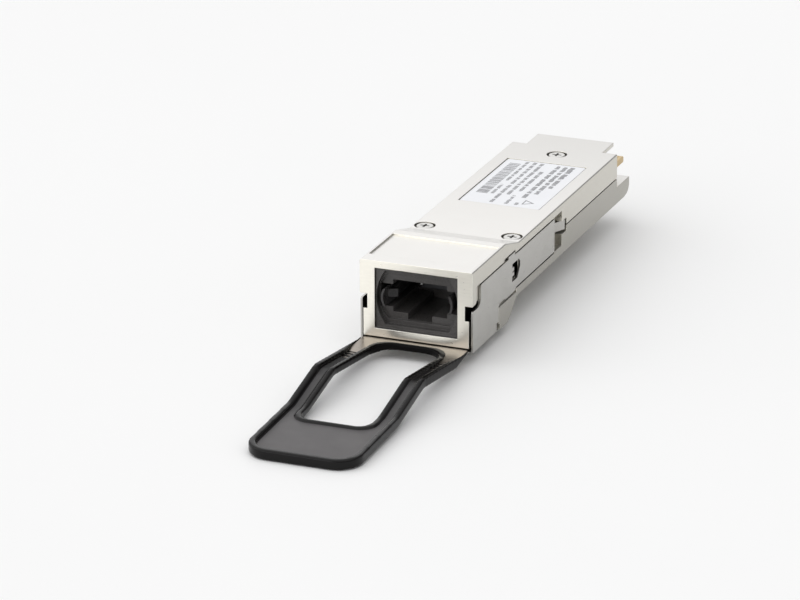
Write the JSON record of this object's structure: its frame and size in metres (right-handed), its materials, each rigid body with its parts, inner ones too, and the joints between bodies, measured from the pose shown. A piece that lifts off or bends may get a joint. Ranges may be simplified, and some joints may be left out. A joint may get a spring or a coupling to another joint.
{
  "type": "optical transceiver module",
  "caption": "Slim plug-in optical transceiver: plated die-cast shell, ribbon-fibre port in the nose, edge contacts at the rear and a looped pull tab that works a spring-return release.",
  "frame": {"origin": "centre of the plug-in body's underside at the cage-mouth plane, where the body leaves the cage and the nose begins", "axes": "+Y is the direction the module slides into its cage, +Z points to the label side, +X to the right seen from the pull tab with the label up"},
  "size_m": [0.0184, 0.1185, 0.0148],
  "materials": {
    "nickel_plate": "satin nickel plate on a zinc casting",
    "screw_steel": "plated steel, satin",
    "label_film": "printed white film",
    "port_plastic": "moulded black plastic, low sheen",
    "hook_plastic": "moulded black plastic, low sheen",
    "ferrule_plastic": "filled black plastic, ground face",
    "pin_steel": "ground stainless steel",
    "gasket_rubber": "conductive rubber",
    "ribbon_coating": "clear aqua ribbon coating",
    "copper_submount": "copper, satin",
    "lens_plastic": "amber optical plastic",
    "chip": "polished semiconductor",
    "laminate": "green solder mask on glass laminate",
    "gold": "gold plate",
    "ic_package": "black moulding compound",
    "ferrite": "pressed ferrite",
    "ceramic": "ceramic with plated ends",
    "thermal_rubber": "soft filled silicone",
    "spring_steel": "drawn spring wire",
    "slider_steel": "satin stainless sheet",
    "tab_steel": "brushed stainless sheet",
    "grip_rubber": "smooth black overmould, soft sheen"
  },
  "bodies": {
    "module": {"top_housing": "nickel_plate", "bottom_housing": "nickel_plate", "housing_screws": "screw_steel", "label": "label_film", "mpo_receptacle": "port_plastic", "mt_ferrule": "ferrule_plastic", "guide_pins": "pin_steel", "pin_keeper": "pin_steel", "emi_gasket": "gasket_rubber", "fibre_ribbon": "ribbon_coating", "optics_submount": "copper_submount", "lens_block": "lens_plastic", "vcsel_array": "chip", "photodiode_array": "chip", "laser_driver": "chip", "receiver_amplifier": "chip", "circuit_board": "laminate", "contacts_top": "gold", "contacts_bottom": "gold", "microcontroller": "ic_package", "power_inductors": "ferrite", "capacitors": "ceramic", "thermal_pad": "thermal_rubber", "return_spring_left": "spring_steel", "return_spring_right": "spring_steel"},
    "release": {"release_slider": "slider_steel", "tab_rivets": "slider_steel", "pull_tab_core": "tab_steel", "pull_tab_grip": "grip_rubber"},
    "hook_left": {"latch_hook_left": "hook_plastic"},
    "hook_right": {"latch_hook_right": "hook_plastic"}
  },
  "joints": [
    {"name": "release_slide", "type": "slide", "parent": "module", "child": "release", "axis": [0, -1, 0], "range_m": [0, 0.00165], "stiffness_N_per_m": 1200, "springref_m": -0.0008, "deforming": ["return_spring_left", "return_spring_right"]},
    {"name": "hook_left_flex", "type": "hinge", "parent": "module", "child": "hook_left", "pos_m": [-0.0053, -0.0069, 0.0042], "axis": [0, 0, -1], "range_deg": [0, 2.5], "stiffness_Nm_per_rad": 0.02},
    {"name": "hook_right_flex", "type": "hinge", "parent": "module", "child": "hook_right", "pos_m": [0.0053, -0.0069, 0.0042], "axis": [0, 0, 1], "range_deg": [0, 2.5], "stiffness_Nm_per_rad": 0.02}
  ]
}
